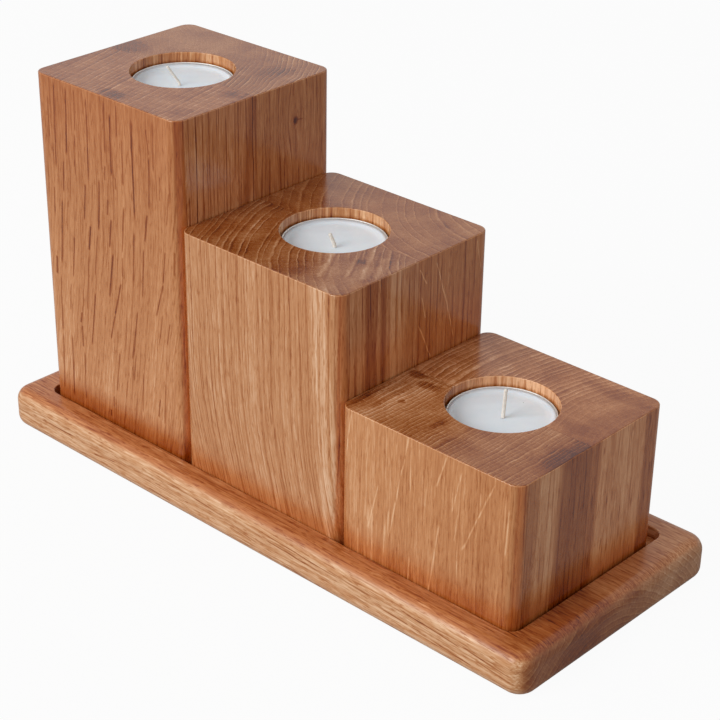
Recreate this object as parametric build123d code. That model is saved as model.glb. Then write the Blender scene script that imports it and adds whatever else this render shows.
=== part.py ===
from build123d import *
import os

# A stepped tealight holder: an oak tray with a routed recess, three loose oak blocks
# of falling height standing in it, and a tealight in the round pocket of each block.
# Millimetres. X runs along the tray towards the low block, Y to the back, Z up.
# The origin is the centre of the tray's underside.

# Tealight
cup_rim_diameter = 38.6
cup_height = 15.0
cup_wall = 0.4
cup_taper = 0.5
rim_roll_radius = 0.5
base_ring_width = 6.0
base_dish = 0.6
wax_below_rim = 1.5
wax_gap = 0.1
meniscus_height = 0.7
meniscus_width = 3.4
wick_diameter = 1.5
wick_bend_radius = 3.0
wick_bend_above_wax = 0.8
tab_diameter = 12.0
tab_thickness = 0.4
tab_neck_wall = 0.5
tab_neck_height = 3.0

# Blocks
block_side = 78.7
low_height = 59.8
height_step = 40.2
block_edge_radius = 4.8
block_edge_break = 0.5
pocket_clearance = 0.5
rim_below_top = 3.7
pocket_edge_break = 0.3

# Tray, built out from the row of blocks
block_gap = 0.3
left_gap = 2.75
right_gap = 0.95
front_gap = 0.3
back_gap = 6.7
recess_depth = 4.5
recess_corner_extra = 0.2
recess_edge_break = 0.4
floor_thickness = 12.1
end_rim = 13.0
side_rim = 10.2
tray_corner_radius = 7.3
tray_edge_radius = 5.0

# What differs from block to block: how far it stands back from the front gap, where its glue
# line lies from its middle, and its wick's foot from the candle's middle, lean and rise
places = {
    "tall": dict(step=2, set_back=0.5, glue_shift=-1.2, foot=(1.4, -2.8), lean=(-3.0, -3.4), rise=7.6),
    "middle": dict(step=1, set_back=0.0, glue_shift=0.9, foot=(2.6, -2.7), lean=(-1.3, -1.3), rise=5.4),
    "low": dict(step=0, set_back=0.3, glue_shift=-2.0, foot=(0.8, -0.4), lean=(0.4, 0.3), rise=11.3),
}

# Sizes that follow from those above
pocket_radius = cup_rim_diameter / 2 + pocket_clearance
pocket_depth = cup_height + rim_below_top
cup_top_inner_radius = cup_rim_diameter / 2 - 2 * rim_roll_radius
cup_base_radius = cup_top_inner_radius + cup_wall - cup_taper
dish_radius = cup_base_radius - base_ring_width
cup_floor = base_dish + cup_wall
wax_level = cup_height - wax_below_rim
wick_radius = wick_diameter / 2
row_length = len(places) * block_side + (len(places) - 1) * block_gap
recess_length = row_length + left_gap + right_gap
recess_width = block_side + front_gap + back_gap
recess_corner_radius = block_edge_radius + recess_corner_extra
tray_length = recess_length + 2 * end_rim
tray_width = recess_width + 2 * side_rim
tray_thickness = floor_thickness + recess_depth


def block_height(place):
    return low_height + place["step"] * height_step


def block_centre(index, place):
    """Middle of a block's foot on the recess floor."""
    x = left_gap - recess_length / 2 + block_side / 2 + index * (block_side + block_gap)
    y = front_gap - recess_width / 2 + block_side / 2 + place["set_back"]
    return Vector(x, y, floor_thickness)


def rounded_prism(length, width, radius, height):
    return extrude(RectangleRounded(length, width, radius), height)


def tray():
    body = rounded_prism(tray_length, tray_width, tray_corner_radius, tray_thickness)
    rims = body.faces().sort_by(Axis.Z)
    edge_radius = min(tray_edge_radius, 0.9 * tray_corner_radius, 0.45 * tray_thickness)
    body = fillet(rims[0].edges() + rims[-1].edges(), edge_radius)
    recess = rounded_prism(recess_length, recess_width, recess_corner_radius, recess_depth)
    body -= Pos(0, 0, floor_thickness) * recess
    mouth = body.faces().sort_by(Axis.Z)[-1].inner_wires()[0]
    return fillet(mouth.edges(), recess_edge_break)


def block(place):
    """The whole glued block, standing on its own foot."""
    height = block_height(place)
    body = rounded_prism(block_side, block_side, block_edge_radius, height)
    ends = body.faces().sort_by(Axis.Z)
    body = fillet(ends[0].edges() + ends[-1].edges(), block_edge_break)
    pocket = Cylinder(pocket_radius, pocket_depth, align=(Align.CENTER, Align.CENTER, Align.MAX))
    body -= Pos(0, 0, height) * pocket
    mouth = body.faces().sort_by(Axis.Z)[-1].inner_wires()[0]
    return fillet(mouth.edges(), pocket_edge_break)


def boards(place):
    """Front and back board: the block parted at its glue line."""
    whole = block(place)
    glue_plane = Plane((0, place["glue_shift"], 0), z_dir=(0, 1, 0))
    front = split(whole, bisect_by=glue_plane, keep=Keep.BOTTOM)
    back = split(whole, bisect_by=glue_plane, keep=Keep.TOP)
    return front, back


def turned(points):
    """A solid of revolution about Z from its radius and height points."""
    outline = Polyline(*[(radius, 0, height) for radius, height in points], close=True)
    return revolve(make_face(outline), Axis.Z)


def candle_cup():
    shoulder = cup_height - rim_roll_radius
    shell = turned([
        (0, base_dish),
        (dish_radius, base_dish),
        (dish_radius + base_dish, 0),
        (cup_base_radius, 0),
        (cup_top_inner_radius + cup_wall, shoulder),
        (cup_top_inner_radius, shoulder),
        (cup_base_radius - cup_wall, cup_wall),
        (dish_radius + base_dish, cup_wall),
        (dish_radius, cup_floor),
        (0, cup_floor),
    ])
    roll = Pos(0, 0, shoulder) * Torus(cup_top_inner_radius + rim_roll_radius, rim_roll_radius)
    return shell + roll


def wick_stem(radius, height):
    return Cylinder(radius, height, align=(Align.CENTER, Align.CENTER, Align.MIN))


def candle_wax(place):
    slope = cup_taper / (cup_height - rim_roll_radius - cup_wall)
    base_radius = cup_base_radius - cup_wall - wax_gap
    edge_level = wax_level + meniscus_height
    edge_radius = base_radius + slope * (edge_level - cup_wall)
    body = turned([
        (0, cup_floor + wax_gap),
        (dish_radius + wax_gap, cup_floor + wax_gap),
        (dish_radius + base_dish + wax_gap, cup_wall + wax_gap),
        (base_radius, cup_wall + wax_gap),
        (edge_radius, edge_level),
        (edge_radius - meniscus_width / 3, wax_level + meniscus_height / 4),
        (edge_radius - meniscus_width, wax_level),
        (0, wax_level),
    ])
    neck_radius = wick_radius + wax_gap + tab_neck_wall
    hollow = wick_stem(tab_diameter / 2 + wax_gap, tab_thickness + wax_gap)
    hollow += wick_stem(neck_radius + wax_gap, tab_thickness + tab_neck_height + wax_gap)
    hollow += wick_stem(wick_radius + wax_gap, cup_height)
    return body - Pos(*place["foot"], cup_floor) * hollow


def wick_tab(place):
    """Thin disc with a short neck, standing on the cup's raised floor."""
    body = wick_stem(tab_diameter / 2, tab_thickness)
    body += wick_stem(wick_radius + wax_gap + tab_neck_wall, tab_thickness + tab_neck_height)
    body -= wick_stem(wick_radius + wax_gap, cup_height)
    return Pos(*place["foot"], cup_floor) * body


def candle_wick(place):
    """Upright inside the wax, bent over just above it."""
    foot = Vector(*place["foot"], cup_floor)
    bend = Vector(foot.X, foot.Y, wax_level + wick_bend_above_wax)
    tip = Vector(foot.X, foot.Y, wax_level) + Vector(*place["lean"], place["rise"])
    path = FilletPolyline(foot, bend, tip, radius=wick_bend_radius)
    return sweep(Plane(foot, z_dir=(0, 0, 1)) * Circle(wick_radius), path=path)


def build():
    nodes = {"tray": tray()}
    for index, (name, place) in enumerate(places.items()):
        stand = Pos(block_centre(index, place))
        candle = stand * Pos(0, 0, block_height(place) - pocket_depth)
        front, back = boards(place)
        nodes[f"{name}_front_board"] = stand * front
        nodes[f"{name}_back_board"] = stand * back
        nodes[f"{name}_candle_cup"] = candle * candle_cup()
        nodes[f"{name}_candle_wax"] = candle * candle_wax(place)
        nodes[f"{name}_candle_wick"] = candle * candle_wick(place)
        nodes[f"{name}_wick_tab"] = candle * wick_tab(place)
    return nodes


os.makedirs("parts", exist_ok=True)
for node, solid in build().items():
    export_step(solid, f"parts/{node}.step")
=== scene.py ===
import math
from collections import namedtuple
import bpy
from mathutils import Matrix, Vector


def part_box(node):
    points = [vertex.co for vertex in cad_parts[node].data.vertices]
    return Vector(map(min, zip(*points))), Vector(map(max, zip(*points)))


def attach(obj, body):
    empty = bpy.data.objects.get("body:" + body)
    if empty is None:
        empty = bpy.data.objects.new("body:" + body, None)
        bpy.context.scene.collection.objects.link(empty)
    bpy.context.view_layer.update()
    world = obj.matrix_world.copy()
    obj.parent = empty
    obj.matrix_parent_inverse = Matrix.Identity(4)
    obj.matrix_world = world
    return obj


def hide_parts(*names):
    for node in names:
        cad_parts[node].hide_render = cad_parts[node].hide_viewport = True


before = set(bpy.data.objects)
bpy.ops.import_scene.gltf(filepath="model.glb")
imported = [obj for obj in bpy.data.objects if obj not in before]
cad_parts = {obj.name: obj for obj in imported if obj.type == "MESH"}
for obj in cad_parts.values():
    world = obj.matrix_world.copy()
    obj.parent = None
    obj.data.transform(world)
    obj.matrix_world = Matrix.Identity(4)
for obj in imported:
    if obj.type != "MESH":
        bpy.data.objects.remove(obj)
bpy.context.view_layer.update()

from types import SimpleNamespace

import bpy
import numpy as np
from mathutils import Matrix, Vector

# A stepped tealight holder. The oak boards, the tray and the wick tabs are the CAD nodes, dressed in
# materials made here. Finer cups, wax fillings and wicks stand for their CAD nodes.
# Lengths are millimetres in the part's frame, but camera, light and floor are in metres.
scene = bpy.context.scene
MM = 0.001


def node_box(node):
    """Lowest and highest corner of a CAD node, to a hundredth of a millimetre."""
    return [[round(value / MM, 2) for value in corner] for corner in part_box(node)]


def middle_of(node):
    low, high = node_box(node)
    return [(a + b) / 2 for a, b in zip(low, high)]


def block_place(name):
    """Left, front, top and side of a block, and how far its glue line lies behind its front."""
    low, high = node_box(name + "_front_board")
    side, glue = high[0] - low[0], high[1] - low[1]
    return SimpleNamespace(left=low[0], front=low[1], top=high[2], side=side, glue=glue)


BLOCKS = {name: block_place(name) for name in ("tall", "middle", "low")}
TALL_TOP, MIDDLE_TOP, LOW_TOP = [round(block.top) for block in BLOCKS.values()]
BLOCK_SIDE = round(BLOCKS["tall"].side, 1)
TRAY_CORNER, TRAY_END = node_box("tray")
TRAY_LENGTH = round(TRAY_END[0] - TRAY_CORNER[0])
TRAY_HEIGHT = round(TRAY_END[2], 1)
# About where the tray's rim meets the blocks
TRAY_RIM = 16.0

# The tealights. A wick's lean and its rise above the wax are those of the part's source.
CUP_LOW, CUP_HIGH = node_box("tall_candle_cup")
CUP_RADIUS = round((CUP_HIGH[0] - CUP_LOW[0]) / 2, 1)
CUP_HEIGHT = round(CUP_HIGH[2] - CUP_LOW[2], 1)
POCKET_RADIUS = CUP_RADIUS + 0.5
WAX_LEVEL = CUP_HEIGHT - 1.5
WICKS = {
    "tall": dict(lean=(-3.0, -3.4), rise=7.6, thick=0.75),
    "middle": dict(lean=(-1.3, -1.3), rise=5.4, thick=1.0),
    "low": dict(lean=(0.4, 0.3), rise=11.3, thick=0.95),
}


def srgb(red, green, blue):
    """A colour written as 0 to 255, made linear."""
    out = []
    for level in (red, green, blue):
        share = level / 255
        out.append(share / 12.92 if share <= 0.04045 else ((share + 0.055) / 1.055) ** 2.4)
    return (*out, 1.0)


# Materials are worked out with small node sums


class Value:
    """A number at each point of a surface. Sums and products of values become Math nodes."""

    def __init__(self, tree, socket):
        self.tree = tree
        self.socket = socket

    def math(self, operation, *others):
        node = self.tree.nodes.new("ShaderNodeMath")
        node.operation = operation
        for slot, value in zip(node.inputs, (self, *others)):
            plug(self.tree, value, slot)
        return Value(self.tree, node.outputs[0])

    def __add__(self, other):
        return self.math("ADD", other)

    def __sub__(self, other):
        return self.math("SUBTRACT", other)

    def __mul__(self, other):
        return self.math("MULTIPLY", other)

    def __truediv__(self, other):
        return self.math("DIVIDE", other)

    __radd__ = __add__

    def __rsub__(self, other):
        return (self * -1.0) + other

    def abs(self):
        return self.math("ABSOLUTE")

    def sqrt(self):
        return self.math("SQRT")

    def fract(self):
        return self.math("FRACT")

    def max(self, other):
        return self.math("MAXIMUM", other)

    def min(self, other):
        return self.math("MINIMUM", other)

    def smooth(self, low, high):
        """0 at low and 1 at high, with a soft step between them."""
        node = self.tree.nodes.new("ShaderNodeMapRange")
        node.interpolation_type = "SMOOTHSTEP"
        plug(self.tree, self, node.inputs["Value"])
        plug(self.tree, low, node.inputs["From Min"])
        plug(self.tree, high, node.inputs["From Max"])
        return Value(self.tree, node.outputs["Result"])


def plug(tree, value, slot):
    """Links a value to a socket, or sets a plain number or colour there."""
    if isinstance(value, Value):
        tree.links.new(value.socket, slot)
    else:
        slot.default_value = value


def total(parts):
    return sum(parts[1:], parts[0])


def distance(u, v):
    return (u * u + v * v).sqrt()


def ellipsoid(place, centre, radii):
    """1 inside an ellipsoid, falling softly to 0 at its rim. A radius of None has no limit."""
    parts = []
    for value, middle, radius in zip(place, centre, radii):
        if radius is not None:
            part = (value - middle) / radius
            parts.append(part * part)
    return total(parts).smooth(1.0, 0.1)


class Surface:
    """A material with its node tree and the Principled shader that it ends in."""

    def __init__(self, name):
        self.material = bpy.data.materials.new(name)
        self.material.use_nodes = True
        self.tree = self.material.node_tree
        self.shader = self.tree.nodes["Principled BSDF"]
        self.coordinates = self.tree.nodes.new("ShaderNodeTexCoord")

    def split(self, vector):
        node = self.tree.nodes.new("ShaderNodeSeparateXYZ")
        self.tree.links.new(vector, node.inputs[0])
        return [Value(self.tree, socket) for socket in node.outputs]

    def point(self):
        """Where the point lies in the part's frame, in millimetres."""
        return [value / MM for value in self.split(self.coordinates.outputs["Object"])]

    def normal(self):
        return self.split(self.coordinates.outputs["Normal"])

    def vector(self, x, y, z):
        node = self.tree.nodes.new("ShaderNodeCombineXYZ")
        for value, slot in zip((x, y, z), node.inputs):
            plug(self.tree, value, slot)
        return Value(self.tree, node.outputs[0])

    def noise(self, x, y, z, detail=2.0, roughness=0.5):
        node = self.tree.nodes.new("ShaderNodeTexNoise")
        plug(self.tree, self.vector(x, y, z), node.inputs["Vector"])
        node.inputs["Scale"].default_value = 1.0
        node.inputs["Detail"].default_value = detail
        node.inputs["Roughness"].default_value = roughness
        return Value(self.tree, node.outputs["Fac"])

    def cells(self, u, v):
        """Offsets from the middle of the nearest random cell of a plane, and two random numbers of it."""
        node = self.tree.nodes.new("ShaderNodeTexVoronoi")
        node.voronoi_dimensions = "2D"
        node.inputs["Scale"].default_value = 1.0
        plug(self.tree, self.vector(u, v, 0.0), node.inputs["Vector"])
        offsets = [place - middle for place, middle in zip((u, v), self.split(node.outputs["Position"]))]
        return offsets, self.split(node.outputs["Color"])[:2]

    def ramp(self, value, stops):
        node = self.tree.nodes.new("ShaderNodeValToRGB")
        plug(self.tree, value, node.inputs[0])
        elements = node.color_ramp.elements
        while len(elements) < len(stops):
            elements.new(0.5)
        for element, (place, colour) in zip(elements, stops):
            element.position = place
            element.color = colour
        return Value(self.tree, node.outputs["Color"])

    def multiply(self, share, colour, by):
        """A colour times another where share is 1, and as it was where share is 0."""
        node = self.tree.nodes.new("ShaderNodeMix")
        node.data_type = "RGBA"
        node.blend_type = "MULTIPLY"
        for slot, value in ((0, share), (6, colour), (7, by)):
            plug(self.tree, value, node.inputs[slot])
        return Value(self.tree, node.outputs[2])

    def bump(self, height, depth, strength):
        """Relief where height goes from 0 to 1 over a depth in millimetres."""
        node = self.tree.nodes.new("ShaderNodeBump")
        node.inputs["Strength"].default_value = strength
        node.inputs["Distance"].default_value = depth * MM
        plug(self.tree, height, node.inputs["Height"])
        self.tree.links.new(node.outputs["Normal"], self.shader.inputs["Normal"])

    def set(self, **settings):
        for name, value in settings.items():
            plug(self.tree, value, self.shader.inputs[name.replace("_", " ")])


# Oak: what its faces can show. half is half a line's width, and strength adds to the tone.

# Slim streaks along the grain, in a share of the random cells
Spindles = namedtuple("Spindles", "face cell half length strength share")
# Thin lines along the grain, one in each strip of a width, that come and go over a length
Veins = namedtuple("Veins", "face strip length half strength")
# One line, given by its two ends
Stroke = namedtuple("Stroke", "face start stop half strength")
# A stripe right across a face through two points, with soft edges
Band = namedtuple("Band", "face start stop half soft strength")
# A soft blotch
Mark = namedtuple("Mark", "face centre radii strength")

# How far along the grain a mark on a top face reaches
SPOT_DEPTH = 4.0


def lines(face, half, strength, *ends):
    """Strokes of one width and strength on a face, each given by its two ends."""
    return [Stroke(face, end[:2], end[2:], half, strength) for end in ends]


def stripes(face, low, high, *rows):
    """Bands from one height to another: place at both, half width, softness and strength of each."""
    return [Band(face, (at_low, low), (at_high, high), *rest) for at_low, at_high, *rest in rows]


def spots(top, *rows):
    """Marks on a top face, each given by its middle, its two radii and its strength."""
    return [Mark("z", (x, y, top), (wide, deep, SPOT_DEPTH), strength) for x, y, wide, deep, strength in rows]


def stroke_group():
    """Nodes for a soft line from a start along a way, which thins out at both ends."""
    tree = bpy.data.node_groups.new("grain_stroke", "ShaderNodeTree")
    for name in ("U", "V", "Start U", "Start V", "Along U", "Along V", "Half"):
        tree.interface.new_socket(name, in_out="INPUT", socket_type="NodeSocketFloat")
    tree.interface.new_socket("Line", in_out="OUTPUT", socket_type="NodeSocketFloat")
    given = tree.nodes.new("NodeGroupInput")
    u, v, start_u, start_v, along_u, along_v, half = [Value(tree, socket) for socket in given.outputs[:7]]
    u = u - start_u
    v = v - start_v
    way = ((u * along_u + v * along_v) / (along_u * along_u + along_v * along_v)).max(0.0).min(1.0)
    off = distance(u - way * along_u, v - way * along_v)
    line = off.smooth(half, half * 0.15) * (way * (1.0 - way)).smooth(0.0, 0.09)
    result = tree.nodes.new("NodeGroupOutput")
    tree.links.new(line.socket, result.inputs[0])
    return tree


STROKE_NODES = stroke_group()

# Tones of oak from dark to light. A board's tint acts in full from FULL_TINT on.
OAK_TONES = [
    (0.00, (84, 24, 0)),
    (0.25, (135, 62, 6)),
    (0.50, (166, 98, 47)),
    (0.75, (197, 134, 83)),
    (1.00, (232, 184, 138)),
]
FULL_TINT = 0.75
# What multiplies the oak's colour where painted bounce light and shade warm it, as on faces that mostly see
# other oak, and on end grain
WARM = (1.0, 0.70, 0.45, 1.0)
COOL_END = (0.98, 1.02, 1.14, 1.0)
# Painted bounce light from other oak: how much the sides, rounded corners and foot are warmed
PAINTED_BOUNCE = {"x": 0.38, "corner": 0.45, "foot": 0.75}

# Heights where the foot of a block darkens with painted shade and the tall block warms with painted shade,
# how far up a face the step below it lights it with painted light, the height where the painted fade of light
# is 0, and how far the grain wanders
FOOT_SHADE = (30.0, TRAY_RIM)
UPPER_PART = (105.0, 150.0)
STEP_GLOW = 30.0
FADE_MIDDLE = 80.0
WANDER = 2.0

# What a board has unless its look says otherwise. Every look gives the other values.
PLAIN_OAK = dict(
    # the way the grain runs, the middle of the end face, how the grain bends, and a knot's y, z and size
    grain="z", middle=(39.0, 39.0), drift=None, knot=None,
    # tone: painted light that changes per millimetre of height, painted light and shade by face, painted
    # shade at the foot, and painted light from the step below on the side
    fade=0.0, face_tones={}, foot=0.0, step=None,
    # early wood on the sides, and rings, rays and a calm patch on the end grain
    ring=0.1, ring_width=0.5, end_width=0.3, rays=0.1, calm=None,
    # what the faces show
    spindles=(), veins=(), strokes=(), bands=(), marks=(),
    # darker rounded corners, arrises lighter with a painted highlight, pocket wall lighter with painted
    # light, roughness and a dull patch
    corners=0.05, arris=0.1, pocket=None, rough=0.2, dull=None,
    # colour: tint of the light tones, and how much each part is warmed by painted bounce light and shade
    tint=(1.0, 1.0, 1.0), warm=PAINTED_BOUNCE,
)


class Oak(Surface):
    """The wood of one board. x and y lie across the grain and z along it, from the corner of its block."""

    def __init__(self, name, corner, look, block=None):
        super().__init__(name)
        self.look = SimpleNamespace(**{**PLAIN_OAK, **look})
        self.block = block
        self.lay_out(corner)
        self.mask_parts()
        self.grow()
        side = self.side_tone()
        level = side + (self.end_tone() - side) * self.masks["z"]
        for step in (self.scatter, self.draw_strokes, self.draw_bands, self.draw_marks, self.draw_knot,
                     self.draw_glue_and_pocket_shading, self.edges_and_step_light):
            level = step(level)
        self.paint(level)
        self.polish()

    def lay_out(self, corner):
        """Where a point lies in the board, and which of its faces, corners and arrises it is on."""
        order = {"z": (0, 1, 2), "x": (1, 2, 0)}[self.look.grain]
        point = self.point()
        normal = self.normal()
        x, y, z = self.place = [point[axis] - corner[axis] for axis in order]
        self.flats = {"x": (y, z), "y": (x, z), "z": (x, y)}
        across, deep, along = [normal[axis].abs() for axis in order]
        self.masks = {
            "x": across.smooth(0.55, 0.85),
            "y": deep.smooth(0.55, 0.85),
            "z": along.smooth(0.55, 0.9),
            "corner": (across * deep).smooth(0.1, 0.3) * across.smooth(0.45, 0.75),
            "arris": (along * (1.0 - along)).smooth(0.15, 0.25),
        }

    def mask_parts(self):
        """Masks for the parts that only some boards have."""
        look, masks = self.look, self.masks
        x, y, z = self.place
        if look.pocket is not None:
            middle = self.block.side / 2
            away = distance(x - middle, y - middle)
            masks["pocket"] = away.smooth(POCKET_RADIUS + 0.4, POCKET_RADIUS + 0.1)
            masks["corner"] = masks["corner"] * (1.0 - masks["pocket"])
        # Painted shade and bounce light at the foot, painted light above a lower step, and painted shade
        # warming the top of the tall block
        if look.foot:
            masks["foot"] = z.smooth(*FOOT_SHADE)
        if look.step:
            masks["step"] = masks["x"] * z.smooth(look.step + STEP_GLOW, look.step)
        if "top" in look.warm:
            masks["top"] = z.smooth(*UPPER_PART)

    def straightened(self):
        """The place if the grain ran straight, without its drift and its way round a knot."""
        x, y, z = self.place
        if self.look.drift:
            x, y = self.look.drift(x, y, z)
        if self.look.knot:
            knot_y, knot_z, size = self.look.knot
            off_y = y - knot_y
            off_z = z - knot_z
            spread = (off_y * off_y + off_z * off_z * 0.2) / (size * size * 20)
            y = y - off_y * (spread * -1.0).math("EXPONENT") * 0.6
        return x, y, z

    def streaks(self, spot, wide, long, detail=2.0, roughness=0.5):
        """Noise about 0 in streaks of a width and a length along the grain."""
        x, y, z = spot
        return self.noise(x / wide + self.look.seed, y / wide, z / long, detail, roughness) - 0.5

    def grow(self):
        """The patterns of the grain: slow wander, growth rings, fibres at three widths, and pores."""
        look = self.look
        x, y, z = spot = self.straightened()
        slow = self.streaks(spot, wide=24, long=70)
        wave = self.streaks(spot, wide=5, long=45)
        x, y, z = self.spot = (x + slow * WANDER, y + slow * WANDER, z)
        self.from_pith = (x - look.pith[0], y - look.pith[1])
        self.radius = distance(*self.from_pith) + wave * (self.masks["z"] * look.end_wave + 0.7)
        uneven = self.noise(self.radius / 5 + look.seed, 3.7, 0.0)
        self.phase = (self.radius / look.spacing + uneven * 2.2).fract()
        broad = self.streaks(self.spot, wide=10, long=110)
        strand = self.streaks(self.spot, wide=1.5, long=look.strand_length, detail=3.0, roughness=0.6)
        fibre = self.streaks(self.spot, wide=0.65, long=8, roughness=0.6)
        early = self.phase.smooth(look.ring_width, 0.0) * self.phase.smooth(0.0, 0.12) * (strand * 1.2 + 1.0)
        holes = self.noise(x / 0.45, y / 0.45, z / 4.0 + look.seed, detail=1.0)
        pore = (holes + early * 0.06 + strand * 0.12).smooth(0.58, 0.72)
        self.patterns = dict(slow=slow, wave=wave, broad=broad, strand=strand, fibre=fibre,
                             early=early, pore=pore)

    def blend(self, **shares):
        """The sum of the named patterns, each times its share."""
        return total([self.patterns[name] * share for name, share in shares.items()])

    def side_tone(self):
        look = self.look
        fine = look.fine
        side = look.tone + self.blend(slow=0.14, broad=0.22, strand=look.strands, fibre=0.55 * fine,
                                      pore=-0.2 * fine, early=-look.ring)
        # Painted light that changes with height, painted light and shade by face, and painted shade at the
        # foot
        if look.fade:
            side = side + (self.place[2] - FADE_MIDDLE) * look.fade
        for face, shift in look.face_tones.items():
            side = side + self.masks[face] * shift
        if look.foot:
            side = side - self.masks["foot"] * look.foot
        return side

    def end_tone(self):
        """End grain: rings that come and go, rays across them, and speckle."""
        look, phase = self.look, self.phase
        x, y, z = self.spot
        gain = (self.noise(x / 8 + look.seed, y / 8, 7.3) * 2.2 - 0.25).max(0.15)
        if look.calm:
            gain = gain * (1.0 - ellipsoid(self.spot, *look.calm) * 0.8)
        line = phase.smooth(look.end_width, 0.0) * phase.smooth(0.0, 0.1)
        line = line - phase.smooth(0.6, 1.0) * 0.5 - 0.12
        speckle = self.noise(x / 0.8, y / 0.8, look.seed, roughness=0.7) - 0.5
        ray = self.vein(self.round_pith(), self.radius, strip=1.3, length=24, half=0.2, seed=look.seed + 2)
        tone = look.end_tone + self.blend(slow=0.4, broad=0.5, strand=0.32)
        return tone + line * gain * (look.end_line * 1.5) + speckle * 0.36 + ray * look.rays

    def round_pith(self):
        """How far round the pith a point lies, in millimetres at the middle of the end face."""
        pith, middle = self.look.pith, self.look.middle
        flip = -1.0 if pith[0] > middle[0] else 1.0
        across, deep = [value * flip for value in self.from_pith]
        return deep.math("ARCTAN2", across) * math.dist(middle, pith)

    def vein(self, u, v, strip, length, half, seed):
        """Thin lines along v, one in each strip, that wander in it and come and go."""
        across = u / strip + seed
        number = across.math("FLOOR")
        wander = (self.noise(number * 7.31, v / length, seed, detail=1.0) - 0.5) * 1.5 + 0.5
        shows = self.noise(number * 3.17, v / length * 2.5, seed + 5.0, detail=1.0).smooth(0.42, 0.56)
        return ((across.fract() - wander).abs() * strip).smooth(half, half * 0.45) * shows

    def spindle(self, u, v, item):
        """Slim streaks along v, at most one in each random cell, from half to 1.3 times their length."""
        wide, tall = item.cell
        (off_u, off_v), (luck, pick) = self.cells(u / wide + self.look.seed, v / tall)
        reach = off_v.abs() * tall / (luck * 0.8 + 0.5) / item.length
        body = 1.0 - (off_u.abs() * wide / item.half + reach * reach)
        return body.smooth(0.0, 0.8) * pick.smooth(1.0 - item.share, 1.3 - item.share)

    def stroke(self, u, v, item):
        node = self.tree.nodes.new("ShaderNodeGroup")
        node.node_tree = STROKE_NODES
        along = (item.stop[0] - item.start[0], item.stop[1] - item.start[1])
        for slot, value in zip(node.inputs, (u, v, *item.start, *along, item.half)):
            plug(self.tree, value, slot)
        return Value(self.tree, node.outputs[0])

    def scatter(self, level):
        """Adds the spindles and veins, which follow the grain."""
        x, y, z = self.spot
        across = {"x": y, "y": x}
        for item in self.look.spindles:
            u = across[item.face] + self.blend(wave=1.5, strand=0.5)
            level = level + self.spindle(u, z, item) * self.masks[item.face] * item.strength
        for item in self.look.veins:
            u = across[item.face] + self.blend(wave=1.2, strand=0.4)
            line = self.vein(u, z, item.strip, item.length, item.half, self.look.seed + item.strip)
            level = level + line * self.masks[item.face] * item.strength
        return level

    def draw_strokes(self, level):
        for face, (u, v) in self.flats.items():
            drawn = [item for item in self.look.strokes if item.face == face]
            if drawn:
                bent = u + self.blend(wave=1.2, strand=0.6)
                figure = total([self.stroke(bent, v, item) * item.strength for item in drawn])
                level = level + figure * self.masks[face]
        return level

    def draw_bands(self, level):
        for item in self.look.bands:
            u, v = self.flats[item.face]
            slope = (item.stop[0] - item.start[0]) / (item.stop[1] - item.start[1])
            off = u + self.blend(wave=2.0, strand=1.2) - (v - item.start[1]) * slope - item.start[0]
            band = off.abs().smooth(item.half + item.soft, item.half - item.soft)
            level = level + band * self.masks[item.face] * item.strength
        return level

    def draw_marks(self, level):
        x, y, z = self.spot
        for item in self.look.marks:
            ragged = self.blend(strand=3.0)
            blotch = ellipsoid((x + ragged, y + ragged, z), item.centre, item.radii)
            level = level + blotch * self.masks[item.face] * item.strength
        return level

    def draw_knot(self, level):
        if self.look.knot:
            x, y, z = self.place
            knot_y, knot_z, size = self.look.knot
            off_y = y - knot_y
            off_z = z - knot_z
            heart = (off_y * off_y + off_z * off_z * 0.5).sqrt()
            level = level - heart.smooth(size, size * 0.3) * 0.55
        return level

    def draw_glue_and_pocket_shading(self, level):
        """Adds the glue line, and the pocket's wall, lightened with painted light and darkening downwards
        with painted shade.
        """
        if self.block:
            x, y, z = self.place
            level = level - (y - self.block.glue).abs().smooth(0.4, 0.05) * 0.12
            # Painted shade deeper down the pocket wall
            deep = z.smooth(self.block.top - 2.4, self.block.top - 4.0)
            level = level + self.masks["pocket"] * (self.blend(strand=0.8) + self.look.pocket - deep * 0.2)
        return level

    def edges_and_step_light(self, level):
        """Lights the side above a step with painted light. Rounded corners are darker, sharp arrises lighter
        with a painted highlight.
        """
        if self.look.step:
            level = level + self.masks["step"] * 0.06
        return level - self.masks["corner"] * self.look.corners + self.masks["arris"] * self.look.arris

    def paint(self, level):
        stops = []
        for where, colour in OAK_TONES:
            share = min(1.0, where / FULL_TINT)
            tinted = [part * (1 + (by - 1) * share) for part, by in zip(srgb(*colour), self.look.tint)]
            stops.append((where, (*tinted, 1.0)))
        colour = self.multiply(self.masks["z"], self.ramp(level, stops), COOL_END)
        # Painted bounce light and shade: warmer on the sides, rounded corners, foot, above a step and at the
        # top of the tall block
        warmed = total([self.masks[part] * by for part, by in self.look.warm.items() if part in self.masks])
        self.set(Base_Color=self.multiply(warmed.min(1.0), colour, WARM))

    def polish(self):
        rough = self.blend(fibre=0.12, pore=0.15) + self.look.rough
        if self.look.dull:
            rough = rough + ellipsoid(self.place, *self.look.dull) * 0.4
        self.set(Roughness=rough)
        self.bump(self.blend(fibre=0.5, pore=-0.7) + 0.5, depth=0.05, strength=0.3)


# How the grain of single boards bends


def soft_ramp(way, soft, slope):
    """0 well before way is 0, then rising by twice the slope, with a soft bend between."""
    return (way + (way * way + soft * soft).sqrt()) * slope


def low_lean(x, y, z):
    """Upright near the top, leaning to the right going up lower down."""
    return x + soft_ramp(105.0 - z, soft=20.0, slope=0.075), y


def foot_bend(x, y, z):
    """Upright above, bending to the right towards the foot."""
    return x - soft_ramp(48.0 - z, soft=17.32, slope=0.14), y


def tray_dip(x, y, z):
    """Level at the left end, dipping towards the right end."""
    return x, y + soft_ramp(z - 110.0, soft=30.0, slope=0.018)


# The look of each board

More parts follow.
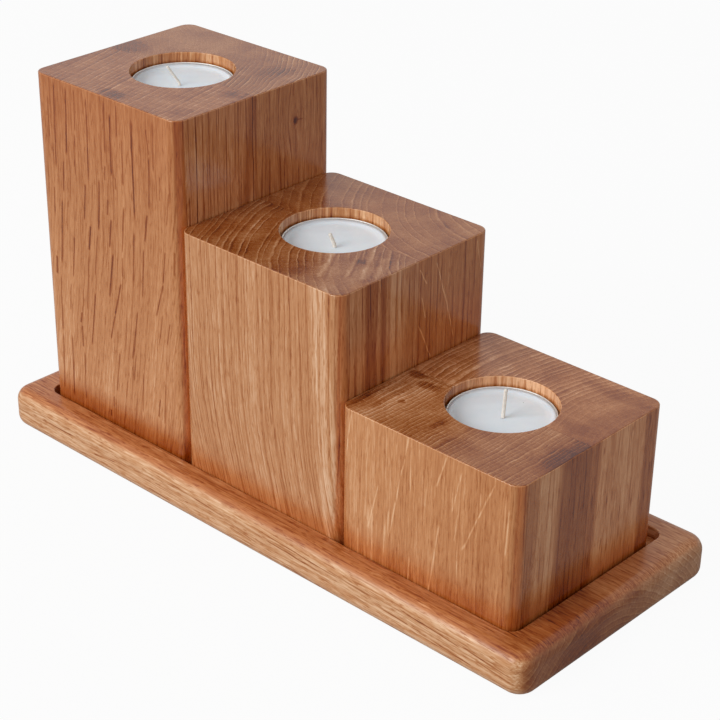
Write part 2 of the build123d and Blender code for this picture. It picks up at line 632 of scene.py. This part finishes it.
# Dark slim lines on the front that lean lower down, and straight ones on the right side
TALL_FRONT = dict(
    pith=(-260, -60), spacing=2.6, ring=0.04, ring_width=0.6, drift=low_lean, seed=1.3,
    # Painted light and shade: darker upwards, a lighter right side, shade at the foot, light from the step,
    # warmer at the top
    tone=0.685, fade=-0.0014, face_tones={"x": 0.17}, foot=0.36, step=MIDDLE_TOP,
    warm={**PAINTED_BOUNCE, "x": 0.32, "corner": 0.35, "top": 0.2, "step": 0.5}, tint=(1.02, 1.05, 1.16),
    strands=0.27, fine=0.82, strand_length=60, corners=0.24, pocket=0.07,
    end_tone=0.465, end_line=0.28, end_wave=0.7, rays=0.26,
    spindles=[Spindles("y", (5.4, 34), 0.6, 19, -0.08, 0.6)],
    veins=[Veins("y", 3.1, 40, 0.36, -0.13), Veins("x", 2.7, 110, 0.3, -0.34)],
    strokes=[
        *lines("y", 0.66, -0.42, (18.8, 151, 17.2, 122.9), (12.9, 104.8, 10, 76), (27.2, 115, 25.4, 99.2),
               (28.8, 98.5, 27.2, 87.3), (35.4, 119.2, 33.5, 97.3), (43.1, 146.7, 42.5, 121.7),
               (41.2, 104.8, 39.5, 92.3), (41.2, 91, 37.8, 71), (45.2, 79.8, 40.6, 64.8),
               (55, 148.5, 54.5, 108.5), (61.9, 112.9, 59.8, 101), (13.5, 47.3, 12.5, 18.5),
               (7.2, 79.2, 6.5, 71), (20.6, 59.2, 19.5, 54.2), (20.4, 53.5, 20, 43.5),
               (35, 21.7, 34.8, 18.5), (29.8, 71, 25.6, 46)),
        *lines("y", 0.6, -0.34, (11.9, 151.7, 10.6, 116), (15.2, 121, 14, 107.3), (9, 71, 7.8, 46),
               (30.4, 149.8, 29.1, 116), (26.9, 85.4, 23.8, 60.4), (20.6, 42.3, 19.8, 19.8),
               (8.2, 46, 6.2, 19.8), (40.6, 64.8, 37.5, 53.5), (42.5, 49.8, 39.4, 31),
               (49.4, 138.5, 49, 119.8), (48.8, 112.3, 46.5, 92.3), (54, 103.5, 52.2, 82.3),
               (54.1, 71.7, 49.4, 48.5), (64, 136, 63, 114.8), (58.8, 98.5, 56.9, 77.3),
               (70.6, 101, 68.8, 87.3), (68.8, 87.3, 64.4, 72.3), (65, 37.9, 63.5, 29.2),
               (39.8, 112.3, 39, 105.4), (18.8, 91, 16.5, 72.3)),
        *lines("y", 0.54, -0.25, (7.8, 144.8, 7.5, 127.3), (40, 151, 39.6, 130), (66.2, 150, 66, 130),
               (23.6, 151, 22.8, 134), (47, 151, 46.6, 138), (8.4, 108.5, 7.8, 97.3),
               (22.5, 133.5, 21.5, 116), (32.8, 96, 30, 77.3), (39.4, 125.4, 38.8, 119.2),
               (44.8, 122.3, 44.5, 117.3), (46.5, 91, 46, 82.3), (55.6, 46, 54.4, 27.3),
               (62.5, 146, 64, 136), (68.1, 74.8, 65, 59.8), (69.4, 129.8, 68.8, 119.8),
               (73.8, 124.8, 71.9, 111), (68.5, 46, 66.9, 27.3), (71.9, 72.3, 70, 62.3),
               (14.8, 69.8, 13.5, 57.3), (51.9, 52.3, 50, 39.8), (37.5, 28.5, 37, 23.5),
               (75.6, 102.3, 75, 92.3)),
        *lines("x", 0.4, -0.5, (9.6, 166, 9.2, 100), (23.8, 150, 23.6, 98), (37.8, 166, 37, 127),
               (37.4, 130, 37.2, 100), (5.6, 123.5, 5, 100)),
        *lines("x", 0.36, -0.38, (15.7, 164, 15.5, 100), (19.6, 164, 19.3, 106), (30.2, 164, 29.8, 100),
               (12.6, 160, 12.4, 104), (25.6, 133.5, 25.4, 100)),
    ],
    bands=stripes("x", MIDDLE_TOP, TALL_TOP, (33, 37.6, 1.8, 1.6, -0.26)),
    marks=spots(TALL_TOP, (3, 44, 15, 9, -0.32), (40, 4, 9, 4, -0.3), (73, 8, 5, 7, -0.16),
                (71, 33, 6, 4, -0.2)),
)

# A small knot high on the right side
TALL_BACK = dict(
    pith=(-30, 5), spacing=1.9, knot=(59.3, 137.3, 1.6), seed=5.1,
    tone=0.68, step=MIDDLE_TOP, warm={**PAINTED_BOUNCE, "step": 0.3},
    strands=0.42, fine=0.98, strand_length=80, pocket=0.07,
    end_tone=0.455, end_line=0.32, end_wave=0.8, calm=((20, 62, 0), (42, 34, None)),
    spindles=[Spindles("y", (5, 30), 0.55, 15, -0.22, 0.5)],
    veins=[Veins("x", 3, 70, 0.36, -0.26), Veins("y", 3.6, 90, 0.38, -0.22)],
    strokes=[
        *lines("x", 0.6, -0.26, (40.3, 92, 42.4, 136), (38.9, 120, 38.6, 164)),
        *lines("x", 0.5, -0.32, (45.6, 127, 45.6, 100), (50.6, 126, 51.8, 108), (53.2, 125, 53.6, 104)),
        *lines("x", 0.45, -0.22, (59.4, 134.5, 59.3, 124), (63, 137, 60, 137.4), (72.4, 152, 72.2, 128)),
    ],
    marks=spots(TALL_TOP, (3, 44, 15, 9, -0.32), (66, 60, 8, 14, -0.12)),
)

# Clear rings on the front that bend at the foot, and a pale corner on the top
MIDDLE_FRONT = dict(
    pith=(115, 70), spacing=2.9, ring=0.22, ring_width=0.34, drift=foot_bend, seed=9.7,
    tone=0.735, fade=-0.0004, foot=0.1, step=LOW_TOP,
    warm={**PAINTED_BOUNCE, "x": 0.46, "corner": 0.4, "step": 0.8}, tint=(0.99, 1.08, 1.28),
    strands=0.27, fine=0.88, strand_length=150, corners=0, pocket=0.14,
    end_tone=0.405, end_line=0.28, end_wave=0.9, calm=((66, 16, 0), (17, 19, None)),
    dull=((BLOCK_SIDE, 11, 94), (8, 18, 24)),
    veins=[Veins("y", 2.6, 90, 0.32, -0.16), Veins("x", 3.4, 90, 0.32, -0.4)],
    strokes=[
        *lines("z", 1.2, 0.2, (56, 37, 70, 12), (60, 38, 76, 13), (51, 28, 63, 6), (68, 34, 78, 19)),
        *lines("z", 0.8, -0.16, (58, 35, 71, 13), (64, 37, 77, 17), (53, 27, 65, 7), (71, 34, 78, 24)),
    ],
    bands=[
        *stripes("x", LOW_TOP, MIDDLE_TOP, (16, 15.4, 2.6, 0.8, -0.27), (22.4, 22.2, 1.4, 0.6, -0.26),
                 (28.2, 28.4, 3.4, 1.4, 0.12), (36, 36.5, 1.8, 1.6, -0.1)),
        *stripes("z", 24, 4, (52, 70, 3.4, 3, 0.15)),
        *stripes("y", 100, 50, (70, 73.3, 3.3, 1.2, 0.13)),
    ],
    marks=[
        *spots(MIDDLE_TOP, (64.4, 26.2, 2.2, 2.6, -0.2), (74, 18, 8, 14, 0.1), (75, 15, 2.4, 2.4, -0.16),
               (54, 7, 5, 5, -0.14)),
        Mark("x", (BLOCK_SIDE, 9, 90), (9, 6, 40), 0.04),
    ],
)

# Pale slanting flecks on the right side
MIDDLE_BACK = dict(
    pith=(84, 108), spacing=3.9, seed=3.9,
    tone=0.7, step=LOW_TOP, warm={**PAINTED_BOUNCE, "step": 0.8},
    strands=0.38, fine=0.88, strand_length=70, pocket=0.14,
    end_tone=0.455, end_line=0.19, end_wave=0.9,
    spindles=[Spindles("y", (4.4, 24), 0.5, 10, 0.16, 0.45)],
    veins=[Veins("x", 3, 110, 0.34, -0.32), Veins("y", 3.2, 100, 0.36, -0.24)],
    strokes=[
        *lines("x", 0.4, 0.3, (40.4, 109, 44.4, 101.8), (49.3, 109.2, 54.4, 95), (53.6, 97.5, 60.2, 75.6)),
        *lines("x", 0.4, 0.28, (41.8, 98, 44.1, 88.6)),
        *lines("x", 0.4, 0.34, (40.5, 87.5, 47.9, 71.8)),
        *lines("x", 0.35, 0.2, (71, 111, 74, 98)),
        *lines("x", 0.6, -0.12, (64.5, 64, 65, 120), (47, 64, 46.4, 120)),
    ],
)

# Pale slanting flecks on the front, and dark blotches at the left of the top
LOW_FRONT = dict(
    pith=(-400, 20), spacing=1.8, ring=0.06, ring_width=0.7, seed=7.7,
    tone=0.71, face_tones={"x": 0.05}, foot=0.12, tint=(1.03, 1.06, 1.14),
    strands=0.36, fine=0.74, strand_length=70, corners=0.04, pocket=0.1,
    end_tone=0.545, end_line=0.26, end_wave=0.7,
    spindles=[Spindles("y", (4, 20), 0.5, 8, 0.13, 0.5)],
    veins=[Veins("x", 2.4, 60, 0.36, -0.22), Veins("y", 2.6, 40, 0.28, -0.1)],
    strokes=[
        *lines("y", 0.5, 0.18, (68.6, 69.5, 62.4, 53.5), (63, 55.5, 56, 38), (48.4, 72, 44.2, 57.5),
               (29.6, 61, 23.6, 28), (46.2, 45, 42.2, 14), (5.8, 71, 3, 49), (75, 63, 74.2, 44),
               (9.2, 27, 9.6, 12), (33.4, 26, 32.4, 12)),
        *lines("y", 0.46, 0.14, (18.8, 48.5, 13.8, 28), (55.2, 69, 51.2, 51), (54, 52, 52.6, 40),
               (31.6, 72, 29.4, 58), (54.4, 34, 55, 20), (22, 34, 21.4, 12), (40.6, 62, 39.6, 48)),
        *lines("x", 0.4, -0.2, (4.8, 10, 4.7, 80)),
    ],
    bands=[
        *stripes("y", TRAY_RIM, LOW_TOP, (19, 19, 14, 12, 0.05), (62, 62, 14, 10, -0.03)),
        *stripes("x", TRAY_RIM, LOW_TOP, (7, 7, 2.6, 1.2, -0.1), (15, 15.4, 4.4, 1.4, 0.13),
                 (29, 31.5, 9.4, 1.6, -0.25)),
    ],
    marks=spots(LOW_TOP, (5, 34.8, 4.6, 3, -0.44), (12, 31.2, 4, 3.4, -0.36), (16.3, 31.8, 3, 3, -0.26),
                (11, 36.2, 14, 1.4, -0.2), (9, 32, 13, 7, -0.1), (8.5, 18, 1.8, 14, -0.26),
                (13.7, 16.5, 1.6, 1.6, -0.34), (2, 14, 2, 16, -0.24), (5.4, 22, 1.2, 10, -0.2),
                (33, 13, 1.8, 5, -0.28), (78, 25, 9, 15, -0.18), (10, 40, 12, 50, 0.17),
                (77, 40, 12, 50, -0.2), (44, 2, 30, 14, -0.08)),
)

# Two dark bands on the right side
LOW_BACK = dict(
    pith=(110, 55), spacing=2.3, seed=11.9, tone=0.85, foot=0.14, tint=(1.05, 1, 1),
    strands=0.28, fine=0.9, strand_length=50, pocket=0.1,
    end_tone=0.525, end_line=0.22, end_width=0.5, end_wave=0.9, calm=((74, 54, 0), (26, 34, None)),
    spindles=[Spindles("x", (4, 10), 0.5, 4, -0.3, 0.6), Spindles("y", (4, 18), 0.5, 8, -0.24, 0.5)],
    veins=[Veins("x", 2.8, 50, 0.34, -0.14), Veins("y", 3, 60, 0.36, -0.2)],
    bands=stripes("x", TRAY_RIM, LOW_TOP, (36, 38.5, 4.6, 1.6, -0.28), (72, 71.5, 3.4, 1.2, -0.28)),
    marks=spots(LOW_TOP, (64, 72, 16, 5, -0.2), (78, 29, 9, 15, -0.14), (68, 44, 12, 5, -0.1),
                (10, 40, 12, 50, 0.1), (77, 40, 12, 50, -0.17)),
)

# The tray's grain runs along it, so here x is its depth, y its height and z its length
TRAY = dict(
    grain="x", middle=(53, 8), pith=(46, -22), spacing=2.2, ring=0.08, drift=tray_dip, seed=15,
    # Its top is darker and warmer with painted shade and reflection of the blocks
    tone=0.86, face_tones={"y": -0.18}, warm={"y": 0.66}, tint=(1, 1.1, 1.27),
    strands=0.27, fine=1.2, strand_length=34, corners=0, arris=-0.03, rough=0.32,
    end_tone=0.4, end_line=0.15, end_wave=0.8, rays=0.07,
    spindles=[Spindles("x", (1.8, 20), 0.4, 8, -0.2, 0.5), Spindles("y", (1.8, 16), 0.45, 7, -0.2, 0.6),
              Spindles("y", (2, 14), 0.4, 6, 0.16, 0.5)],
    veins=[Veins("x", 1.7, 50, 0.22, -0.14), Veins("y", 2.4, 50, 0.28, -0.2)],
    strokes=lines("x", 0.4, -0.34, (6.6, 52, 8, 65), (4.9, 84, 3.8, 97), (1.8, 24, 1.1, 42),
                  (11.3, 110, 10.4, 127), (12.8, 139, 10.9, 176), (10.4, 148, 9.3, 169),
                  (7.2, 129, 6.3, 141), (3.8, 156, 2.2, 172), (2.5, 206, 1.2, 228), (12, 212, 9.6, 240),
                  (6.3, 230, 4.9, 245), (7.9, 246, 6.3, 262), (8.2, 205, 7.4, 217), (11.7, 178, 10.4, 200),
                  (10.7, 240, 8.2, 262), (9.2, 20, 9.6, 40)),
    marks=[
        Mark("z", (94, 8, TRAY_LENGTH), (34, 30, 14), 0.23),
        Mark("z", (40, 8, TRAY_LENGTH), (28, 30, 14), -0.14),
        # Painted shade and reflection on the top at the right end: darker at the front, lighter at the back
        Mark("y", (28, TRAY_HEIGHT, 262), (42, 9, 30), -0.32),
        Mark("y", (96, TRAY_HEIGHT, 262), (34, 9, 26), 0.16),
        # Painted shadow in the back right corner of the recess
        Mark("y", (92, 12.1, 250), (8, 3, 9), -0.4),
        Mark("x", (96, 14, 248), (6, 5, 16), -0.7),
        Mark("z", (92, 14, 253), (10, 5, 5), -0.4),
    ],
)

BOARDS = {
    "tall": (TALL_FRONT, TALL_BACK),
    "middle": (MIDDLE_FRONT, MIDDLE_BACK),
    "low": (LOW_FRONT, LOW_BACK),
}


def dress(node, surface):
    """Gives a CAD node its material."""
    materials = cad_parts[node].data.materials
    materials.clear()
    materials.append(surface.material)


for name, looks in BOARDS.items():
    block = BLOCKS[name]
    for side, look in zip(("front", "back"), looks):
        node = f"{name}_{side}_board"
        dress(node, Oak("oak_" + node, (block.left, block.front, 0.0), look, block))
dress("tray", Oak("oak_tray", TRAY_CORNER, TRAY))


# Materials of the tealights

# A dark crumb that lies on the wax of the low candle
CRUMB = ((78.95, 10.0, 0.0), (0.3, 0.55, None))


def foil_surface():
    foil = Surface("pressed_foil")
    x, y, z = foil.point()
    scratch = foil.noise(x / 1.2, y / 1.2, z / 0.12) - 0.5
    cloud = foil.noise(x / 4, y / 4, z / 4) - 0.5
    tones = [(0.2, srgb(214, 214, 212)), (0.8, srgb(234, 233, 230))]
    foil.set(Base_Color=foil.ramp(cloud + scratch * 0.4 + 0.5, tones))
    foil.set(Metallic=1.0, Roughness=scratch * 0.12 + cloud * 0.1 + 0.6)
    foil.bump(scratch, depth=0.01, strength=0.2)
    return foil


def wax_surface():
    wax = Surface("candle_wax")
    x, y, z = wax.point()
    cloud = wax.noise(x / 7, y / 7, z / 7, detail=3.0)
    grain = wax.noise(x / 0.5, y / 0.5, z / 0.5) - 0.5
    clean = 1.0 - ellipsoid((x, y, z), *CRUMB) * 0.95
    tones = [(0.0, srgb(120, 120, 122)), (0.1, srgb(229, 240, 251)), (0.75, srgb(239, 247, 255))]
    wax.set(Base_Color=wax.ramp((cloud * 0.8 + grain * 0.25 + 0.1).max(0.1) * clean, tones))
    wax.set(Roughness=grain * 0.1 + cloud * 0.1 + 0.33)
    wax.set(Subsurface_Weight=0.35, Subsurface_Scale=0.004, Subsurface_Radius=(1.0, 0.8, 0.7))
    wax.bump(cloud * 0.7 + grain * 0.3, depth=0.05, strength=0.12)
    return wax


def cotton_surface():
    cotton = Surface("wick_cotton")
    x, y, z = cotton.point()
    thread = cotton.noise(x / 0.12, y / 0.12, z / 0.5) - 0.5
    patch = cotton.noise(x / 1.5, y / 1.5, z / 1.5, detail=1.0)
    tones = [(0.2, srgb(226, 217, 203)), (0.8, srgb(244, 237, 227))]
    cotton.set(Base_Color=cotton.ramp(thread * 0.8 + patch, tones))
    cotton.set(Roughness=thread * 0.1 + 0.8)
    cotton.set(Subsurface_Weight=0.4, Subsurface_Scale=0.0015, Subsurface_Radius=(1.0, 0.95, 0.9))
    cotton.bump(thread, depth=0.06, strength=0.6)
    return cotton


def steel_surface():
    steel = Surface("tab_steel")
    x, y, z = steel.point()
    brushed = steel.noise(x / 0.1, y / 2.5, z / 0.1) - 0.5
    tones = [(0.3, srgb(168, 170, 174)), (0.7, srgb(196, 198, 200))]
    steel.set(Base_Color=steel.ramp(brushed + 0.5, tones))
    steel.set(Metallic=1.0, Roughness=brushed * 0.2 + 0.35)
    steel.bump(brushed, depth=0.01, strength=0.3)
    return steel


# Shapes of the tealights


def loft(name, rings, surface, closed=False):
    """A mesh through rings of points. An open loft ends in a fan at each end."""
    count = len(rings[0])
    points = [tuple(point) for ring in rings for point in ring]
    faces = []
    pairs = len(rings) if closed else len(rings) - 1
    for i in range(pairs):
        this, following = i * count, (i + 1) % len(rings) * count
        for j in range(count):
            k = (j + 1) % count
            faces.append((this + j, this + k, following + k, following + j))
    if not closed:
        for start, turn in ((0, 1), ((len(rings) - 1) * count, -1)):
            points.append(tuple(np.mean(points[start:start + count], axis=0)))
            hub = len(points) - 1
            for j in range(count):
                faces.append((hub, start + (j + 1) % count, start + j)[::turn])
    mesh = bpy.data.meshes.new(name)
    mesh.from_pydata(points, [], faces)
    mesh.polygons.foreach_set("use_smooth", [True] * len(faces))
    mesh.materials.append(surface.material)
    piece = bpy.data.objects.new(name, mesh)
    scene.collection.objects.link(piece)
    return piece


def circle(centre, radius, height, count, ripple=None):
    """Points of a level circle, in metres. ripple adds to the radius and height at each angle."""
    angle = np.arange(count) * 2 * math.pi / count
    out, rise = ripple(angle) if ripple else (0.0, 0.0)
    x = centre[0] + (radius + out) * np.cos(angle)
    y = centre[1] + (radius + out) * np.sin(angle)
    z = np.broadcast_to(height + rise, angle.shape)
    return np.stack([x, y, z], 1) * MM


# The cup: a wall that flares, flutes that fade out at its foot and top, and a rolled and crimped rim
CUP_OUTSIDE = CUP_RADIUS - 1.0
CUP_INSIDE = CUP_OUTSIDE - 0.18
CUP_FLARE = 0.5
WALL_FOOT = 0.9
WALL_OUTER_TOP = CUP_HEIGHT - 0.9
WALL_INNER_TOP = CUP_HEIGHT - 0.5
WALL_RINGS = 14
FLUTES = 72
FLUTE_POINTS = 4
FLUTE_DEPTH = 0.14
FLUTE_TOP = 11.5
FLUTE_FADES = (1.2, 2.0)
ROLL_MIDDLE = (CUP_RADIUS - 0.35, CUP_HEIGHT - 0.27)
ROLL_RADIUS = 0.25
ROLL_TURN = np.radians(np.linspace(-80, 190, 12))
CRIMP = 0.006
CRIMP_WAVES = (23, 17)
# Radius and height along its underside from the middle out, and along its floor from the wall in
DISH = 12.0
CUP_UNDERSIDE = ((4.0, 0.6), (DISH, 0.6), (DISH + 0.3, 0.55), (DISH + 0.75, 0.05), (DISH + 1.0, 0.0),
                 (CUP_OUTSIDE - 0.9, 0.0), (CUP_OUTSIDE - 0.4, 0.1), (CUP_OUTSIDE - 0.15, 0.4))
CUP_FLOOR = ((CUP_OUTSIDE - 0.6, 0.55), (CUP_OUTSIDE - 0.9, 0.4), (DISH + 1.0, 0.4), (DISH + 0.7, 0.5),
             (DISH + 0.3, 0.95), (DISH, 1.0), (4.0, 1.0))


def cup_rings(centre, base):
    """Pressed foil: dished base, fluted wall, rolled rim."""
    count = FLUTE_POINTS * FLUTES

    def plain(profile):
        return [circle(centre, radius, base + height, count) for radius, height in profile]

    def wall_ring(foot_radius, height):
        fade = min(1.0, (height - WALL_FOOT) / FLUTE_FADES[0], (FLUTE_TOP - height) / FLUTE_FADES[1])
        depth = FLUTE_DEPTH * max(0.0, fade)
        radius = foot_radius + CUP_FLARE * height / WALL_INNER_TOP
        return circle(centre, radius, base + height, count,
                      lambda angle: (-depth * (0.5 - 0.5 * np.cos(FLUTES * angle)), 0.0))

    def rim_ring(turn):
        radius = ROLL_MIDDLE[0] + ROLL_RADIUS * math.cos(turn)
        height = ROLL_MIDDLE[1] + ROLL_RADIUS * math.sin(turn)
        out, rise = CRIMP_WAVES
        return circle(centre, radius, base + height, count,
                      lambda angle: (CRIMP * np.sin(out * angle), CRIMP * np.sin(rise * angle + 0.4)))

    rings = plain(CUP_UNDERSIDE)
    rings += [wall_ring(CUP_OUTSIDE, height) for height in np.linspace(WALL_FOOT, WALL_OUTER_TOP, WALL_RINGS)]
    rings += [rim_ring(turn) for turn in ROLL_TURN]
    rings += [wall_ring(CUP_INSIDE, height) for height in np.linspace(WALL_INNER_TOP, WALL_FOOT, WALL_RINGS)]
    return rings + plain(CUP_FLOOR)


# The wax: its edge climbs the cup, and a low mound stands round the wick
WAX_RADIUS = CUP_INSIDE + 0.45
WAX_POINTS = 128
EDGE_START = 15.0
EDGE_WIDTH = 3.5
EDGE_RISE = 1.3
MOUND_HEIGHT = 0.14
MOUND_RADIUS = 1.2
WICK_HOLE = 0.64
# Rings round the wick, then the wax's side and underside, and the hollow for the wick's tab
WICK_RINGS = (0.8, 1.05, 1.5, 2.1, 2.8, 3.6, 4.6)
WAX_SIDE = ((WAX_RADIUS - 0.11, WAX_LEVEL + 0.1), (CUP_INSIDE - 0.14, 0.9), (CUP_INSIDE - 0.42, 0.5),
            (DISH + 1.2, 0.5), (DISH + 0.4, 1.1))
TAB_HOLLOW = ((6.1, 1.1), (6.1, 1.5), (1.45, 1.55), (1.45, 4.5))
TAB_HOLLOW_TOP = 4.55


def wax_height(x, y, foot):
    """Height of the wax's surface at a place from the candle's middle."""
    from_wick = np.hypot(x - foot[0], y - foot[1])
    edge = np.clip((np.hypot(x, y) - EDGE_START) / EDGE_WIDTH, 0.0, 1.0)
    mound = MOUND_HEIGHT * np.exp(-((from_wick / MOUND_RADIUS) ** 2))
    swell = 0.03 * np.sin(0.45 * x + 1.0) * np.cos(0.38 * y) + 0.02 * np.sin(0.9 * x - 0.7 * y)
    return WAX_LEVEL + mound + EDGE_RISE * edge ** 2.6 + swell * (1 - edge)


def wax_rings(centre, base, foot, thick):
    """Wax with its hole for the wick, from the hole over the surface to the underside and back."""
    def surface_ring(middle, radius):
        ring = circle(middle, radius, 0.0, WAX_POINTS) / MM
        ring[:, 2] = base + wax_height(ring[:, 0], ring[:, 1], foot)
        ring[:, :2] += np.array(centre)
        return ring * MM

    def plain_rings(middle, profile):
        place = (centre[0] + middle[0], centre[1] + middle[1])
        return [circle(place, radius, base + height, WAX_POINTS) for radius, height in profile]

    hole = WICK_HOLE * thick
    inner = WICK_RINGS[-1]
    rings = [surface_ring(foot, radius) for radius in (hole, *WICK_RINGS)]
    for share in np.linspace(0.08, 1.0, 16):
        middle = (foot[0] * (1 - share), foot[1] * (1 - share))
        rings.append(surface_ring(middle, inner + (WAX_RADIUS - inner) * share))
    rings += plain_rings((0, 0), WAX_SIDE)
    return rings + plain_rings(foot, (*TAB_HOLLOW, (hole, TAB_HOLLOW_TOP)))


# The wick: where it starts above the cup's base and bends above the wax, and its braid
WICK_START = 1.05
WICK_BEND = 0.8
BEND_REACH = 1.2
WICK_RADIUS = 0.66
BRAID_RELIEF = 0.08
BRAID_STRANDS = 3
BRAID_TURN = 3.4
WICK_POINTS = 24
TIP_TAPER = 0.5


def wick_path(centre, base, foot, lean, rise):
    """Points along a wick: upright in the wax, then over to its tip, with a soft bend between."""
    start = np.array([centre[0] + foot[0], centre[1] + foot[1], base + WICK_START])
    bend = np.array([start[0], start[1], base + WAX_LEVEL + WICK_BEND])
    tip = np.array([start[0] + lean[0], start[1] + lean[1], base + WAX_LEVEL + rise])
    reach = np.linalg.norm(tip - bend)
    out = (tip - bend) / reach
    before = bend - [0, 0, BEND_REACH]
    after = bend + out * BEND_REACH
    upright = [start + (bend - start) * t for t in np.linspace(0, 1, 90)]
    path = [point for point in upright if point[2] < before[2]]
    path += [(1 - t) ** 2 * before + 2 * t * (1 - t) * bend + t * t * after for t in np.linspace(0, 1, 16)]
    path += [bend + out * way for way in np.linspace(BEND_REACH, reach, 60)[1:]]
    return np.array(path)


def wick_rings(centre, base, foot, lean, rise, thick):
    """A braided stem along the wick's path."""
    path = wick_path(centre, base, foot, lean, rise)
    along = np.concatenate([[0], np.cumsum(np.linalg.norm(np.diff(path, axis=0), axis=1))])
    angle = np.arange(WICK_POINTS) * 2 * math.pi / WICK_POINTS
    rings = []
    for point, heading, way in zip(path, np.gradient(path, along, axis=0), along):
        heading = heading / np.linalg.norm(heading)
        side = np.cross(heading, [0.3, 1.0, 0.0])
        side /= np.linalg.norm(side)
        other = np.cross(heading, side)
        turned = BRAID_STRANDS * angle
        braid = np.cos(turned + way * BRAID_TURN) * np.cos(turned - way * BRAID_TURN)
        tip = min(1.0, (along[-1] - way) / TIP_TAPER)
        radius = thick * (WICK_RADIUS + BRAID_RELIEF * braid) * (0.75 + 0.25 * tip ** 0.5)
        ring = point + (np.cos(angle) * radius)[:, None] * side + (np.sin(angle) * radius)[:, None] * other
        rings.append(ring * MM)
    return rings


foil, wax, cotton, steel = foil_surface(), wax_surface(), cotton_surface(), steel_surface()
for name, wick in WICKS.items():
    centre = middle_of(name + "_candle_cup")[:2]
    base = node_box(name + "_candle_cup")[0][2]
    foot = [round(tab - cup, 1) for tab, cup in zip(middle_of(name + "_wick_tab"), centre)]
    cup = loft(name + "_foil_cup", cup_rings(centre, base), foil)
    filling = loft(name + "_wax_fill", wax_rings(centre, base, foot, wick["thick"]), wax, closed=True)
    braid = loft(name + "_braided_wick", wick_rings(centre, base, foot, **wick), cotton)
    made = [(cup, "candle_cup", "cup_foil"), (filling, "candle_wax", "wax"),
            (braid, "candle_wick", "wick_cotton")]
    for piece, node, slot in made:
        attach(piece, name + "_tealight")
        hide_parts(name + "_" + node)
    dress(name + "_wick_tab", steel)


# Camera at the photograph's place, fitted to its edges

CAMERA_PLACE = (0.43193, -0.45845, 0.39138)
CAMERA_RIGHT = (0.71306, 0.70110, -0.00172)
CAMERA_UP = (-0.33260, 0.34043, 0.87948)


def add_camera():
    data = bpy.data.cameras.new("camera")
    data.sensor_width = 36.0
    data.lens = 96.11
    data.shift_x = 0.08298
    data.shift_y = 0.02458
    camera = bpy.data.objects.new("camera", data)
    scene.collection.objects.link(camera)
    right, up = Vector(CAMERA_RIGHT), Vector(CAMERA_UP)
    turn = Matrix((right, up, right.cross(up))).transposed().to_4x4()
    camera.matrix_world = Matrix.Translation(CAMERA_PLACE) @ turn
    scene.camera = camera


add_camera()
scene.view_settings.view_transform = "Standard"


# White surroundings, seen and mirrored, with a softer light from all round, and one softbox

ROOM_SEEN = 1.0
ROOM_MIRRORED = 0.82
ROOM_LIGHT = 0.43


def light_path(tree):
    """1 for rays that the camera sees, and 1 for mirrored rays."""
    path = tree.nodes.new("ShaderNodeLightPath")
    return [Value(tree, path.outputs[ray]) for ray in ("Is Camera Ray", "Is Glossy Ray")]


def add_surroundings():
    world = bpy.data.worlds.new("surroundings")
    scene.world = world
    world.use_nodes = True
    tree = world.node_tree
    background = tree.nodes["Background"]
    background.inputs["Color"].default_value = (1.0, 1.0, 1.0, 1.0)
    seen, mirrored = light_path(tree)
    strength = seen * (ROOM_SEEN - ROOM_LIGHT) + mirrored * (ROOM_MIRRORED - ROOM_LIGHT) + ROOM_LIGHT
    plug(tree, strength, background.inputs["Strength"])


def add_softbox(name, place, target, size, watts):
    data = bpy.data.lights.new(name, "AREA")
    data.shape = "RECTANGLE"
    data.size, data.size_y = size
    data.energy = watts
    lamp = bpy.data.objects.new(name, data)
    scene.collection.objects.link(lamp)
    lamp.location = place
    lamp.rotation_euler = (Vector(target) - Vector(place)).to_track_quat("-Z", "Y").to_euler()


add_surroundings()
add_softbox("key", place=(-0.4, -1.56, 1.1), target=(0.0, 0.0, 0.07), size=(1.2, 0.9), watts=25.0)


# A pale floor that keeps the object's shadow

FLOOR_HALF = 4.0
FLOOR_GREY = 0.54
FLOOR_GLOW_SEEN = 0.95
FLOOR_GLOW_MIRRORED = 0.1


def floor_surface():
    """A dull pale surface that mostly glows white where the camera sees it."""
    pale = Surface("pale_floor")
    pale.set(Base_Color=(FLOOR_GREY, FLOOR_GREY, FLOOR_GREY, 1.0), Roughness=0.9, Specular_IOR_Level=0.2)
    tree = pale.tree
    glow = tree.nodes.new("ShaderNodeEmission")
    both = tree.nodes.new("ShaderNodeMixShader")
    seen, mirrored = light_path(tree)
    plug(tree, seen * FLOOR_GLOW_SEEN + mirrored * FLOOR_GLOW_MIRRORED, both.inputs[0])
    tree.links.new(pale.shader.outputs[0], both.inputs[1])
    tree.links.new(glow.outputs[0], both.inputs[2])
    tree.links.new(both.outputs[0], tree.nodes["Material Output"].inputs["Surface"])
    return pale


def add_floor():
    half = FLOOR_HALF
    mesh = bpy.data.meshes.new("floor")
    corners = [(-half, -half, 0), (half, -half, 0), (half, half, 0), (-half, half, 0)]
    mesh.from_pydata(corners, [], [(0, 1, 2, 3)])
    mesh.materials.append(floor_surface().material)
    floor = bpy.data.objects.new("floor", mesh)
    scene.collection.objects.link(floor)


add_floor()
